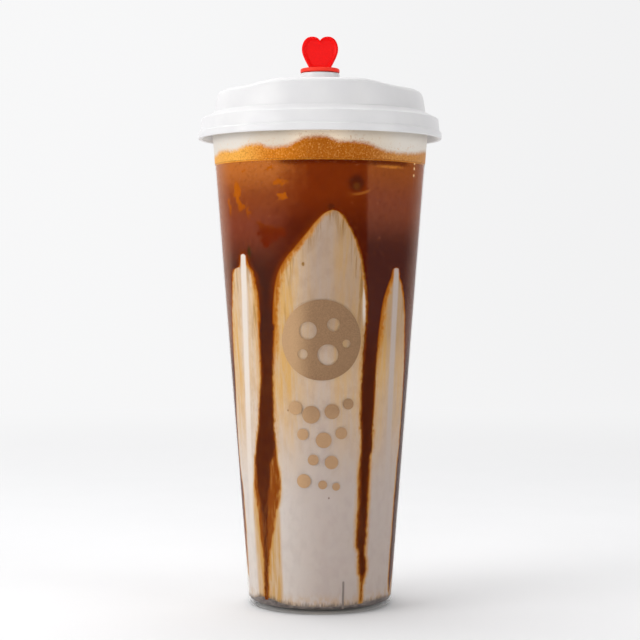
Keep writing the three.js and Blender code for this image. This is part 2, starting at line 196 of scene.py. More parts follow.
def back_run_rows(half, swell, tip):
    rows = []
    for fall in (0, 0.15, 0.35, 0.5, 0.65, 0.8, 0.95, 1.0):
        z = RUN_TOP + (tip - RUN_TOP) * fall
        reach = half * (1 - 0.5 * fall) + swell * math.exp(-(((fall - 0.5) / 0.22) ** 2))
        thick = 0 if fall == 1 else reach
        rows.append((z, -reach - 1.2, -thick, thick * 0.8, reach + 1.8))
    return rows


ALL_FLAMES = FRONT_FLAMES + tuple(
    (peak, 2.2, 1.4, back_flame_rows(left, right, height))
    for peak, left, right, height in BACK_FLAMES)
ALL_RUNS = FRONT_RUNS + tuple(
    (middle, back_run_rows(half, swell, tip)) for middle, half, swell, tip in BACK_RUNS)


# Meshes
def mesh_object(name, vertices, faces, sharp=35):
    mesh = bpy.data.meshes.new(name)
    mesh.from_pydata([(x * MM, y * MM, z * MM) for x, y, z in vertices], [], faces)
    mesh.validate()
    mesh.update()
    mesh.shade_smooth()
    mesh.set_sharp_from_angle(angle=math.radians(sharp))
    piece = bpy.data.objects.new(name, mesh)
    bpy.context.scene.collection.objects.link(piece)
    return piece


def round_point(radius, angle, z):
    turn = math.radians(angle)
    return radius * math.sin(turn), -radius * math.cos(turn), z


def turned(name, outline_at, steps=ROUND_STEPS, sharp=35, centre_y=0):
    """A closed piece turned about an upright line; its outline starts and ends on that line."""
    outlines = [outline_at(360 * step / steps) for step in range(steps)]
    rings = len(outlines[0]) - 2
    vertices, faces = [(0, centre_y, outlines[0][end][1]) for end in (0, -1)], []
    for step, outline in enumerate(outlines):
        for radius, z in outline[1:-1]:
            x, y, height = round_point(radius, 360 * step / steps, z)
            vertices.append((x, y + centre_y, height))
        here = 2 + step * rings
        beyond = 2 + (step + 1) % steps * rings
        faces.append((0, beyond, here))
        for ring in range(rings - 1):
            faces.append((here + ring, beyond + ring, beyond + ring + 1, here + ring + 1))
        faces.append((here + rings - 1, beyond + rings - 1, 1))
    return mesh_object(name, vertices, faces, sharp)


def bands(start, rings, count):
    """Faces between neighbouring rings of count points each."""
    faces = []
    for ring in range(rings - 1):
        for index in range(count):
            here = start + ring * count + index
            beyond = start + ring * count + (index + 1) % count
            faces.append((here, beyond, beyond + count, here + count))
    return faces


def column(start, rings, count):
    """The same, closed by a face at each end."""
    top = start + (rings - 1) * count
    ends = [tuple(start + corner for corner in reversed(range(count))),
            tuple(top + corner for corner in range(count))]
    return bands(start, rings, count) + ends


def upright(name, outline):
    """A round piece that stands at the spout."""
    return turned(name, lambda angle: outline, 96, 35, SPOUT_Y)


def combine(piece, other, operation):
    """Joins other to piece, or cuts it out, and removes other."""
    modifier = piece.modifiers.new(operation, "BOOLEAN")
    modifier.operation = operation
    modifier.solver = "MANIFOLD"
    modifier.object = other
    bpy.context.view_layer.update()
    ready = piece.evaluated_get(bpy.context.evaluated_depsgraph_get())
    mesh = bpy.data.meshes.new_from_object(ready)
    piece.modifiers.clear()
    piece.data = mesh
    mesh.shade_smooth()
    mesh.set_sharp_from_angle(angle=math.radians(35))
    bpy.data.objects.remove(other)
    return piece


def place(piece, slot, material, *nodes):
    piece.data.materials.clear()
    piece.data.materials.append(material)
    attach(piece, "root")
    if nodes:
        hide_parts(*nodes)
    return piece


# Material graphs
class Graph:
    """The nodes of a material or of the world, written as sums, curves and mixes. A material's
    axes are the point's x, y and z in millimetres, in the row's frame."""

    def __init__(self, name, world=False):
        self.owner = (bpy.data.worlds if world else bpy.data.materials).new(name)
        self.owner.use_nodes = True
        self.tree = self.owner.node_tree
        self.tree.nodes.clear()
        self.output = self.add("ShaderNodeOutputWorld" if world else "ShaderNodeOutputMaterial")
        point = self.add("ShaderNodeTexCoord").outputs["Generated" if world else "Object"]
        split = self.add("ShaderNodeSeparateXYZ", {0: point})
        self.axes = [self.times(socket, 1.0 if world else 1 / MM) for socket in split.outputs]

    def add(self, kind, inputs=None, **settings):
        node = self.tree.nodes.new(kind)
        for key, value in settings.items():
            setattr(node, key, value)
        for key, value in (inputs or {}).items():
            self.feed(node.inputs[key], value)
        return node

    def feed(self, socket, value):
        if isinstance(value, bpy.types.NodeSocket):
            self.tree.links.new(value, socket)
        else:
            socket.default_value = value

    def math(self, operation, *values):
        node = self.add("ShaderNodeMath", operation=operation)
        for socket, value in zip(node.inputs, values):
            self.feed(socket, value)
        return node.outputs[0]

    def chain(self, operation, total, *values):
        for value in values:
            total = self.math(operation, total, value)
        return total

    def plus(self, *values):
        return self.chain("ADD", *values)

    def minus(self, *values):
        return self.chain("SUBTRACT", *values)

    def times(self, *values):
        return self.chain("MULTIPLY", *values)

    def least(self, *values):
        return self.chain("MINIMUM", *values)

    def most(self, *values):
        return self.chain("MAXIMUM", *values)

    def size(self, value):
        return self.math("ABSOLUTE", value)

    def fade(self, value, start, end, low=0.0, high=1.0):
        """low below start, high above end, smooth between."""
        ends = {"From Min": start, "From Max": end, "To Min": low, "To Max": high}
        return self.add("ShaderNodeMapRange", {"Value": value, **ends},
                        interpolation_type="SMOOTHSTEP").outputs[0]

    def span(self, value, start, end):
        """0 at start, 1 at end, straight between."""
        return self.add(
            "ShaderNodeMapRange", {"Value": value, "From Min": start, "From Max": end}).outputs[0]

    def curve(self, value, rows, column=1):
        """A smooth curve through rows of input and outputs, by one column of them."""
        rows = sorted((row[0], row[column]) for row in rows)
        first, last = rows[0][0], rows[-1][0]
        low = min(row[1] for row in rows) - 0.5
        high = max(row[1] for row in rows) + 0.5
        node = self.add("ShaderNodeFloatCurve", {"Value": self.span(value, first, last)})
        line = node.mapping.curves[0]
        shares = [((x - first) / (last - first), (y - low) / (high - low)) for x, y in rows]
        line.points[0].location, line.points[1].location = shares[0], shares[-1]
        for pair in shares[1:-1]:
            line.points.new(*pair)
        for point in line.points:
            point.handle_type = "AUTO_CLAMPED"
        node.mapping.update()
        return self.plus(self.times(node.outputs[0], high - low), low)

    def noise(self, scale, detail=3.0, roughness=0.6, tall=1.0):
        """A noise round the point; tall below 1 draws it out along the height."""
        x, y, z = self.axes
        vector = self.vector(x, y, z if tall == 1.0 else self.times(z, tall))
        return self.noise_at(vector, scale, detail, roughness)

    def noise_at(self, vector, scale, detail, roughness):
        return self.add("ShaderNodeTexNoise", {
            "Vector": vector, "Scale": scale, "Detail": detail, "Roughness": roughness,
        }).outputs["Fac"]

    def swing(self, noise, reach):
        """A noise that swings about nothing, by half of reach each way."""
        return self.times(self.minus(noise, 0.5), reach)

    def uneven(self, noise, low, high):
        """A roughness that wanders between two values."""
        return self.fade(noise, 0.3, 0.7, low, high)

    def cells(self, vector, scale):
        """Distance from the middle of the nearest of many scattered cells."""
        return self.add(
            "ShaderNodeTexVoronoi", {"Vector": vector, "Scale": scale}).outputs["Distance"]

    def vector(self, x, y, z):
        return self.add("ShaderNodeCombineXYZ", {0: x, 1: y, 2: z}).outputs[0]

    def tint(self, share, a, b):
        return self.add("ShaderNodeMix", {"Factor": share, 6: a, 7: b}, data_type="RGBA").outputs[2]

    def coats(self, colour, *layers):
        """Lays colours over a first one; each layer is a share and a colour."""
        for share, over in layers:
            colour = self.tint(share, colour, over)
        return colour

    def blend(self, share, under, over):
        """Mixes two shaders."""
        return self.add("ShaderNodeMixShader", {0: share, 1: under, 2: over}).outputs[0]

    def bump(self, height, distance):
        return self.add(
            "ShaderNodeBump", {"Height": height, "Distance": distance, "Strength": 1.0}).outputs[0]

    def around(self, middle=0):
        """Degrees round the cup from that angle, positive towards the right."""
        x, y, _ = self.axes
        turn = math.radians(middle)
        ahead = self.minus(self.times(x, math.sin(turn)), self.times(y, math.cos(turn)))
        aside = self.plus(self.times(x, math.cos(turn)), self.times(y, math.sin(turn)))
        return self.math("DEGREES", self.math("ARCTAN2", aside, ahead))

    def principled(self, **inputs):
        inputs = {name.replace("_", " "): value for name, value in inputs.items()}
        return self.add("ShaderNodeBsdfPrincipled", inputs).outputs[0]

    def finish(self, shader):
        self.feed(self.output.inputs["Surface"], shader)
        return self.owner


def rgb(red, green, blue):
    """A colour given as on a screen, 0 to 255, as the shader wants it."""
    def linear(value):
        share = value / 255
        return share / 12.92 if share <= 0.04045 else ((share + 0.055) / 1.055) ** 2.4
    return linear(red), linear(green), linear(blue), 1.0


def spot(g, angle, z, scale, middle, height, half_width, half_height, soft=0.5):
    """1 in an oval on the wall, fading to 0 at its edge; sizes in millimetres."""
    across = g.times(g.minus(angle, middle), scale, 1 / half_width)
    along = g.times(g.minus(z, height), 1 / half_height)
    square = g.plus(g.times(across, across), g.times(along, along))
    return g.fade(g.math("SQRT", square), 1 - soft, 1 + soft, 1.0, 0.0)


# Materials
MILK = rgb(180, 166, 158)
# Milk painted lighter, for the light that falls on it from the left
MILK_PAINTED_LIGHT = rgb(201, 191, 183)
MILK_WHITE = rgb(214, 204, 194)
MAUVE = rgb(154, 138, 134)
BEIGE = rgb(200, 158, 98)
GOLD = rgb(184, 124, 50)
OLIVE = rgb(130, 90, 34)
AMBER = rgb(156, 84, 10)
RUST = rgb(118, 46, 0)
TEA = rgb(114, 38, 0)
TEA_DEEP = rgb(76, 17, 0)
THICK = rgb(64, 19, 6)

# How much cream-coloured stain the milk has round the wall: angle, share
STAINS = (
    (-180, 0.4), (-150, 0.2), (-110, 0.6), (-84, 0.5), (-76, 0.9), (-64, 0.95), (-57, 0.6),
    (-47, 0.55), (-42, 0.9), (-36, 0.95), (-28, 1.0), (-22, 1.0), (-15, 0.75), (-9, 0.5),
    (-4, 0.42), (1, 0.28), (5, 0.35), (9, 0.6), (13, 0.7), (18, 0.62), (25, 0.75), (30, 0.7),
    (36, 0.9), (43, 0.9), (48, 0.6), (55, 0.6), (62, 0.7), (70, 0.5), (90, 0.5), (120, 0.2),
    (150, 0.6), (180, 0.4),
)
# The white streaks below the side peaks: height and angle down each one
STREAKS = (
    ((139.4, -50), (107, -52.5), (75, -55.5), (40, -60), (4, -66)),
    ((133.8, 50.5), (83, 52.5), (40, 56), (4, 60)),
    ((141, 107), (80, 106), (4, 104)),
    ((134, -118), (70, -120), (4, -121)),
)

# Places on the wall are an angle from the drinking side and a height; sizes are in millimetres.
# Where the wall is wiped clear in front of the tea: place, half width, half height
CLEAR_PATCHES = (
    (-27.9, 147.3, 6.4, 2.5), (-31, 143.6, 2.8, 1.5), (-35.5, 150.2, 1.7, 1.5),
    (-51.8, 163, 1.7, 4.4), (-50, 158, 1.4, 2.6), (-60.5, 157.5, 1.0, 3.4),
    (-47, 157.3, 1.5, 0.8), (-43.6, 154.8, 0.6, 2.0), (-46, 171, 1.1, 0.6),
    (-27.5, 171.3, 1.7, 0.5), (-22, 166, 3.2, 1.0), (-21, 161, 2.4, 1.6),
)
# Dark spots in the tea: place, size, share
DARK_SPOTS = ((19.8, 165.9, 3.2, 0.95), (5.9, 156.8, 1.3, 0.85), (-44, 138.6, 2.2, 0.4))
# A column of drops on the wall, painted as bright highlights: angle, heights
DROP_GLINT_ANGLE, DROP_GLINT_HEIGHTS = 62.4, (174.4, 172.4, 169.7)
# Small marks on the milk: place, size, colour
MARKS = ((-9.5, 135.3, 0.6, OLIVE), (6.1, 45.8, 0.3, TEA_DEEP), (-21, 79.5, 0.3, OLIVE))


def milk_edge(g, z, scale, ragged):
    """Distance in millimetres into the milk from the line where it meets the tea, and how much
    amber the milk has along that line."""
    depths, glows = [], []
    for peak, left_reach, right_reach, rows in ALL_FLAMES:
        angle = g.around(peak)
        left, right = g.curve(z, rows, 1), g.curve(z, rows, 2)
        from_left = g.times(g.minus(angle, left), scale)
        from_right = g.plus(g.times(g.minus(right, angle), scale), g.times(ragged, 0.8))
        from_top = g.times(g.minus(rows[0][0], z), 1.4)
        inside = g.least(from_left, from_right, from_top)
        frayed = g.plus(from_left, g.times(ragged, 1.8))
        amber = g.most(g.fade(frayed, 0.0, left_reach, 1.0, 0.0),
                       g.fade(from_right, 0.0, right_reach, 1.0, 0.0))
        depths.append(inside)
        glows.append(g.times(amber, g.fade(inside, -3.0, 0.0)))
    return g.most(*depths), g.most(*glows)


def run_edges(g, z, scale):
    """Distances in millimetres into the thin and the thick syrup that runs down the wall."""
    thin, thick = [], []
    for middle, rows in ALL_RUNS:
        angle = g.around(middle)
        edges = [g.curve(z, rows, column) for column in (1, 2, 3, 4)]
        length = g.times(g.least(g.minus(z, rows[-1][0]), g.minus(RUN_TOP + 0.5, z)), 0.8)
        for depths, left, right in ((thin, edges[0], edges[3]), (thick, edges[1], edges[2])):
            across = g.least(g.minus(angle, left), g.minus(right, angle))
            depths.append(g.least(g.times(across, scale), length))
    return g.most(*thin), g.most(*thick)


def side_tea(g, z, front):
    """The tea's paler, duller colours left and right of the middle, from the top down; the left is
    partly painted light, lighter and more amber where light shines through the tea.
    """
    left = g.coats(
        g.tint(g.fade(z, 173, 160), rgb(174, 98, 40), rgb(127, 59, 24)),
        (g.fade(z, 161, 150), rgb(115, 52, 32)),
        (g.fade(z, 151, 131), rgb(58, 26, 18)),
        (g.fade(front, -56, -74, 0.0, 0.5), rgb(158, 112, 88)))
    right = g.coats(
        g.tint(g.fade(z, 174, 158), rgb(156, 84, 34), rgb(130, 70, 48)),
        (g.fade(z, 156, 140), rgb(64, 34, 30)),
        (g.fade(front, 56, 76, 0.0, 0.45), rgb(156, 118, 98)))
    return left, right


def tea_glints(g, z, front, scale, grain):
    """A bright bow below the dark spot and a bright line under the froth."""
    sag = g.math("POWER", g.times(g.minus(front, 18), 0.13), 2.0)
    bow = g.size(g.minus(z, 161.6, sag))
    bow = g.times(g.fade(bow, 0.1, 0.9, 0.4, 0.0), g.fade(front, 14, 22), g.fade(front, 29, 26))
    shine = spot(g, front, z, scale, 41, 172.3, 6.0, 0.55, 0.6)
    return g.most(bow, g.times(shine, g.fade(grain, 0.3, 0.6, 0.5, 1.0)))


def tea_colour(g, front, scale, blots, grain):
    """Amber brown in the middle, paler and duller at both sides, darker further down; the lighter
    left side is partly painted light.
    """
    x, y, z = g.axes
    left, right = side_tea(g, z, front)
    shy = g.plus(front, g.times(blots, 22.0), g.fade(z, 165, 140, -11, -4))
    brink = g.plus(front, g.times(z, 0.06))
    colour = g.coats(
        g.tint(g.fade(z, 165, 146), TEA, TEA_DEEP),
        (g.fade(z, 170, 174, 0.0, 0.25), RUST),
        (g.fade(shy, -4, -30), left),
        (g.times(g.fade(brink, 34.6, 37.4), 0.68), right),
        (g.fade(g.size(front), 90, 160), right))

    bent = g.plus(front, g.swing(g.noise(0.35, 5.0, 0.7), 11.0))
    raised = g.plus(z, g.swing(g.noise_at(g.vector(z, x, y), 0.35, 5.0, 0.7), 7.0))
    clear = g.most(*[spot(g, bent, raised, scale, *patch, 0.1) for patch in CLEAR_PATCHES])
    shiny = g.tint(g.fade(z, 163, 146), rgb(168, 84, 6), rgb(98, 26, 0))
    colour = g.tint(clear, colour, shiny)
    for angle, height, size, amount in DARK_SPOTS:
        dark = spot(g, front, z, scale, angle, height, size, size, 0.4)
        dark = g.times(dark, g.fade(grain, 0.36, 0.56, 0.4, 1.0), amount)
        colour = g.tint(dark, colour, THICK)
    olive = spot(g, front, z, scale, 19.9, 164.7, 1.2, 1.2, 0.5)
    green = spot(g, front, z, scale, -44.4, 139.8, 0.8, 2.4, 0.4)
    # Painted shadow: a dark line in the tea just under the froth.
    under = g.times(g.fade(z, 172.2, 173.9), g.fade(g.size(g.minus(front, 16)), 42, 34))
    colour = g.coats(
        colour, (g.times(olive, 0.5), rgb(112, 66, 18)), (g.times(green, 0.75), rgb(46, 42, 14)),
        (g.times(tea_glints(g, z, front, scale, grain), 0.8), rgb(200, 124, 44)),
        (g.times(under, 0.75), TEA_DEEP))
    # Painted highlights of the drops
    for height in DROP_GLINT_HEIGHTS:
        drop = spot(g, front, z, scale, DROP_GLINT_ANGLE, height, 0.5, 0.55, 0.4)
        colour = g.tint(drop, colour, rgb(250, 214, 150))
    specks = g.cells(g.vector(x, z, y), 0.17)
    return g.coats(
        colour, (g.fade(specks, 0.03, 0.07, 0.35, 0.0), rgb(214, 130, 84)),
        (g.times(g.fade(grain, 0.52, 0.68), 0.18), rgb(168, 88, 36)),
        (g.times(g.fade(grain, 0.48, 0.36), 0.3), rgb(56, 16, 2)))


def milk_stain(g, z, front, thin, streaks, blots):
    """How much cream colour the tea and the syrup have left on the milk."""
    upper = g.times(g.curve(front, STAINS), g.fade(z, 40, 100))
    below_run = g.times(g.fade(front, -59, -54), g.fade(front, -28, -32), g.fade(z, 54, 38))
    beside_runs = g.fade(thin, -1.7, 0.2, 0.0, 0.6)
    at_floor = g.times(g.fade(z, 9.5, 3.5, 0, 0.5), g.fade(blots, 0.4, 0.6))
    stain = g.most(upper, g.times(below_run, 0.95), beside_runs, at_floor)
    return g.times(stain, g.fade(streaks, 0.34, 0.64, 0.66, 1.1))


def add_streaks(g, z, front, scale, milk, glow):
    """Draws the white streaks on the milk and keeps the amber off them."""
    for rows in STREAKS:
        middle = sum(row[1] for row in rows) / len(rows)
        angle = g.around(middle)
        line = g.curve(z, [(height, turn - middle) for height, turn in rows])
        off = g.size(g.times(g.minus(angle, line), scale))
        top = rows[0][0]
        ray = g.times(g.fade(off, 1.0, 2.3, 1.0, 0.0), g.fade(z, top, top + 1, 1, 0),
                      g.fade(z, 15, 95, 0.05, 0.95))
        milk = g.tint(ray, milk, g.tint(g.fade(front, -10, 30), MILK_WHITE, MILK))
        glow = g.times(glow, g.fade(ray, 0, 1, 1.0, 0.15))
    return milk, glow


def trickle_colour(g, z, front, thick, fine_streaks, grain):
    """The syrup in the runs, thinner and paler near its edges and its foot."""
    rill = g.plus(thick, g.swing(fine_streaks, 5.0))
    worn = g.times(g.fade(z, 50, 34, 0.1, 0.35), g.fade(front, 10, -10, 0.3, 1.0))
    flank = g.times(g.fade(front, 66, 76), g.fade(front, 104, 90))
    return g.coats(
        g.tint(g.fade(rill, -0.9, 1.0), rgb(116, 52, 6), THICK),
        (g.times(g.fade(grain, 0.5, 0.64), 0.3), RUST),
        (g.times(worn, g.fade(fine_streaks, 0.44, 0.6)), rgb(176, 108, 56)),
        (g.times(flank, 0.6), rgb(88, 72, 66)))


def drink_material():
    """What shows through the wall: milk, the tea above it and the syrup running down."""
    g = Graph("drink")
    z = g.axes[2]
    front = g.around()
    scale = g.times(g.plus(g.times(z, CUP_TAPER), CUP_BASE_RADIUS - CUP_WALL), math.pi / 180)
    streaks = g.noise(0.75, 4.0, 0.6, 0.05)
    fine_streaks = g.noise(2.2, 3.0, 0.6, 0.09)
    blots = g.noise(0.33, 4.0, 0.6, 0.6)
    grain = g.noise(0.8, 5.0, 0.7)
    ragged = g.swing(g.noise(0.55, 4.0, 0.7), 2.4)
    tatter = g.swing(g.noise(1.6, 4.0, 0.7, 0.6), 3.0)
    drag = g.swing(streaks, 2.2)

    depth, glow = milk_edge(g, z, scale, ragged)
    depth = g.plus(depth, g.times(ragged, 0.2))
    thin, thick = run_edges(g, z, scale)
    thick = g.plus(thick, g.times(ragged, 0.7), tatter, g.times(drag, 0.3))
    thin = g.plus(thin, g.times(ragged, 0.4), g.times(drag, 0.6))
    film = g.fade(g.plus(blots, fine_streaks), 0.8, 1.2, 0.4, 0.78)
    film = g.times(g.fade(thin, -0.6, 1.0), film)
    syrup = g.most(g.fade(depth, -1.0, 0.6, 1.0, 0.0), film, g.fade(thick, -1.0, 0.6))

    mauve = g.times(g.fade(blots, 0.42, 0.66), g.fade(g.fade(z, 40, 100), 0, 1, 0.16, 0.4))
    cream = g.tint(g.fade(z, 30, 70), rgb(184, 144, 88), BEIGE)
    fringe = g.times(g.fade(thick, -2.2, -0.3, 0.0, 0.75), g.fade(fine_streaks, 0.4, 0.6, 0.2, 1.0))
    shade = g.times(g.fade(front, -16, -2), g.fade(z, 92, 112), 0.3)
    lines = g.noise(0.6, 3.0, 0.6, 0.05)
    hang = g.times(g.fade(depth, 0.3, 9.0, 0.7, 0.0), g.fade(lines, 0.5, 0.66), g.fade(z, 96, 124))
    sliver = spot(g, front, z, scale, 27.2, 122, 0.9, 9, 0.4)
    # Painted light: the milk is lighter towards the left, where the light comes from.
    milk = g.coats(
        g.tint(g.fade(front, 6, -42), MILK, MILK_PAINTED_LIGHT), (mauve, MAUVE),
        (milk_stain(g, z, front, thin, streaks, blots), cream), (fringe, GOLD),
        (shade, rgb(122, 92, 70)), (hang, OLIVE), (g.times(sliver, 0.8), MILK_WHITE))
    milk, glow = add_streaks(g, z, front, scale, milk, glow)
    glow = g.times(glow, g.fade(z, 88, 112), g.fade(streaks, 0.34, 0.6, 0.6, 1.05),
                   g.fade(z, 141, 151, 1.0, 0.62))
    milk = g.coats(milk, (g.fade(glow, 0.0, 0.6, 0.0, 0.9), GOLD),
                   (g.fade(glow, 0.45, 0.95, 0.0, 0.85), AMBER))
    for angle, height, size, mark in MARKS:
        share = spot(g, front, z, scale, angle, height, size, size * 1.3, 0.4)
        milk = g.tint(g.times(share, g.fade(fine_streaks, 0.4, 0.55, 0.5, 0.95)), milk, mark)
    pool = g.curve(front, [(turn, syrup_top(1, turn)) for turn in range(-180, 181, 12)])
    murk = g.plus(g.minus(z, pool), g.swing(fine_streaks, 5.0))
    milk = g.coats(milk, (g.times(g.fade(grain, 0.54, 0.7), 0.05), TEA_DEEP),
                   (g.fade(murk, 1.8, -0.4, 0.0, 0.85), rgb(104, 92, 84)))

    tea = tea_colour(g, front, scale, blots, grain)
    warm = g.times(g.fade(depth, -3.4, -0.4, 0.0, 0.55), g.fade(z, 112, 130), g.fade(front, 10, -8))
    tea = g.tint(warm, tea, RUST)
    trickle = trickle_colour(g, z, front, thick, fine_streaks, grain)
    dull = g.times(g.fade(front, 8, 14), g.fade(front, 32, 30), g.fade(z, 96, 104))
    rim = g.tint(g.fade(z, 90, 106), rgb(182, 132, 66), AMBER)
    rim = g.tint(dull, rim, rgb(122, 76, 20))
    wash = g.tint(g.fade(z, 84, 108), rgb(128, 62, 12), RUST)
    colour = g.coats(
        milk, (g.fade(syrup, 0.0, 0.3), rim), (g.fade(syrup, 0.28, 0.62), wash),
        (g.fade(syrup, 0.6, 0.95), g.tint(g.fade(z, 92, 116), trickle, tea)))
    return g.finish(g.principled(
        Base_Color=colour, Roughness=g.uneven(grain, 0.45, 0.6), Specular_IOR_Level=0.0,
        Subsurface_Weight=0.1, Subsurface_Radius=(0.9, 0.5, 0.3), Subsurface_Scale=0.0012))


def foam_material():
    g = Graph("foam")
    front = g.around()
    grain = g.noise(1.3, 5.0, 0.75)
    cloud = g.noise(0.3, 3.0, 0.5)
    # Painted light: the froth is lighter towards the left, where the light comes from.
    colour = g.coats(
        g.tint(g.fade(front, -2, -26), rgb(178, 98, 0), rgb(214, 128, 14)),
        (g.fade(front, -24, -48), rgb(236, 158, 52)),
        (g.fade(front, 36, 64, 0.0, 0.8), rgb(198, 130, 60)),
        (g.fade(cloud, 0.35, 0.65, 0.0, 0.35), rgb(206, 128, 30)),
        (g.times(g.fade(grain, 0.52, 0.68), 0.55), rgb(236, 180, 96)),
        (g.times(g.fade(grain, 0.48, 0.34), 0.6), rgb(134, 62, 0)))
    height = g.plus(grain, g.times(g.cells(g.vector(*g.axes), 1.2), 0.6))
    return g.finish(g.principled(
        Base_Color=colour, Roughness=g.uneven(grain, 0.6, 0.9), Specular_IOR_Level=0.1,
        Subsurface_Weight=0.25, Subsurface_Radius=(1.0, 0.6, 0.3), Subsurface_Scale=0.001,
        Normal=g.bump(height, 0.0003)))


def syrup_material():
    g = Graph("syrup")
    cloud = g.noise(0.4, 4.0, 0.6)
    colour = g.tint(g.fade(cloud, 0.35, 0.7), rgb(72, 62, 57), rgb(126, 115, 110))
    return g.finish(g.principled(Base_Color=colour, Roughness=g.uneven(cloud, 0.3, 0.5)))


def foam_edge(angle):
    return FOAM_EDGE + sum_of_bells(angle, HUMPS)


def wall_gloss(g, grain):
    """The clear wall: see-through, with a gloss that grows where it is seen at a slant."""
    rough = g.uneven(grain, 0.26, 0.32)
    gloss = g.add("ShaderNodeBsdfGlossy", {"Color": (1, 1, 1, 1), "Roughness": rough})
    clear = g.add("ShaderNodeBsdfTransparent")
    slant = g.add("ShaderNodeLayerWeight", {"Blend": 0.5}).outputs["Facing"]
    edge = g.math("POWER", slant, 8.0)
    return g.blend(g.plus(g.times(edge, 0.85), 0.004), clear.outputs[0], gloss.outputs[0])


def frosted_material():
    """Clear where the drink wets the wall, coated with froth above it, and milky at the top."""
    g = Graph("frosted_plastic")
    z = g.axes[2]
    grain = g.noise(2.5)
    fine = g.noise(0.9, 4.0, 0.7)
    foamy = g.noise(1.5)
    cloud = g.noise(0.12, 3.0, 0.5, 0.5)
    front = g.around()
    away = g.size(front)
    line = g.curve(front, [(turn, foam_edge(turn)) for turn in range(-180, 181, 6)])
    above = g.minus(z, line)
    specks = g.times(g.fade(fine, 0.56, 0.68), g.fade(above, 0.5, 6.0, 0.6, 0.08))
    coated = g.fade(g.plus(above, g.swing(fine, 2.6)), -0.7, 1.8, 1.0, 0.0)
    residue = g.times(g.most(specks, coated), g.fade(z, 20, 40))
    # Painted light: the froth on the wall is lighter towards the left, where the light comes from.
    froth = g.coats(
        g.tint(g.fade(front, 0, -24), rgb(164, 88, 2), rgb(202, 116, 12)),
        (g.fade(front, -24, -48), rgb(230, 164, 68)),
        (g.fade(front, 22, 48, 0.0, 0.85), rgb(196, 136, 70)),
        (g.times(g.fade(foamy, 0.54, 0.66), 0.3), rgb(240, 184, 102)),
        (g.times(g.fade(foamy, 0.48, 0.36), 0.45), rgb(134, 64, 0)),
        (g.times(g.fade(fine, 0.54, 0.66), 0.16), rgb(230, 176, 100)))
    # Partly painted light: the frosted wall above the froth is painted warm and bright at the
    # front, for light shining through the wall.
    pale = g.coats(
        g.tint(g.fade(away, 4, 22), rgb(244, 224, 196), rgb(208, 195, 176)),
        (g.fade(away, 28, 50), rgb(214, 207, 197)), (g.times(cloud, 0.3), rgb(226, 220, 213)))
    milky = g.principled(
        Base_Color=g.tint(residue, pale, froth), Roughness=0.5, Specular_IOR_Level=0.1)
    dry = g.fade(z, DRINK_LEVEL + 0.3, DRINK_LEVEL + 0.7, 0.0, 0.95)
    foot = g.fade(z, 0.4, 2.0, 0.12, 0.0)
    return g.finish(g.blend(g.most(dry, foot), wall_gloss(g, grain), milky))


def white_plastic():
    g = Graph("white_plastic")
    grain = g.noise(0.5, 2.0, 0.5)
    cloud = g.noise(0.08, 2.0, 0.5)
    colour = g.tint(g.fade(cloud, 0.3, 0.7), rgb(212, 211, 212), rgb(217, 216, 216))
    return g.finish(g.principled(
        Base_Color=colour, Roughness=g.uneven(grain, 0.30, 0.36), Specular_IOR_Level=0.3))


def red_plastic():
    g = Graph("red_plastic")
    z = g.axes[2]
    grain = g.noise(1.6)
    # Painted highlight: the flange under the heart is painted a lighter red for the highlights it
    # shows.
    flange = g.fade(z, SPOUT_TOP + 2.2, SPOUT_TOP + 1.6)
    colour = g.tint(g.fade(grain, 0.3, 0.7), rgb(228, 4, 6), rgb(236, 10, 8))
    colour = g.tint(flange, colour, rgb(240, 56, 40))
    return g.finish(g.principled(
        Base_Color=colour, Roughness=g.uneven(grain, 0.3, 0.4), Specular_IOR_Level=0.1))


def print_material():
    g = Graph("print")
    x, _, z = g.axes
    grain = g.noise(2.4)
    colour = g.coats(
        g.tint(g.fade(grain, 0.3, 0.7), rgb(140, 106, 74), rgb(154, 119, 86)),
        (g.fade(z, 92, 70, 0.0, 0.6), rgb(196, 156, 116)),
        (g.fade(x, -2, -11, 0.0, 0.75), rgb(204, 164, 120)))
    ink = g.principled(
        Base_Color=colour, Roughness=g.uneven(grain, 0.5, 0.65), Specular_IOR_Level=0.3)
    clear = g.add("ShaderNodeBsdfTransparent")
    return g.finish(g.blend(g.fade(grain, 0.2, 0.8, 0.74, 0.86), clear.outputs[0], ink))


def rib_material():
    g = Graph("wall_rib")
    grain = g.noise(1.4)
    # Painted shade: the clear ribs are coloured dark grey for the dark lines they show through the
    # wall.
    colour = g.tint(grain, rgb(104, 92, 86), rgb(140, 126, 118))
    return g.finish(g.principled(Base_Color=colour, Roughness=g.uneven(grain, 0.3, 0.4)))


# The cup
def cup_outline(angle):
    bead_z = CUP_HEIGHT - BEAD_RADIUS
    neck_z = bead_z - 2.6
    floor_edge = wall_radius(FLOOR_LEVEL + FLOOR_CORNER) - CUP_WALL - FLOOR_CORNER
    return [
        (0, 0.8), (22.6, 0.8), *arc(23.4, 0.4, 0.4, 90, 45, 2), *arc(24.6, 0.4, 0.4, 225, 270, 2),
        *arc(26.0, BASE_CORNER, BASE_CORNER, -90, -4, 10),
        (wall_radius(neck_z), neck_z),
        *arc(43.75, bead_z, BEAD_RADIUS, -110, 170, 18),
        (hollow_radius(neck_z), neck_z),
        (hollow_radius(100), 100),
        *arc(floor_edge, FLOOR_LEVEL + FLOOR_CORNER, FLOOR_CORNER, 0, -90, 8),
        (0, FLOOR_LEVEL),
    ]


def make_cup(material):
    return place(turned("cup_shell", cup_outline), "frosted_plastic", material, "cup")


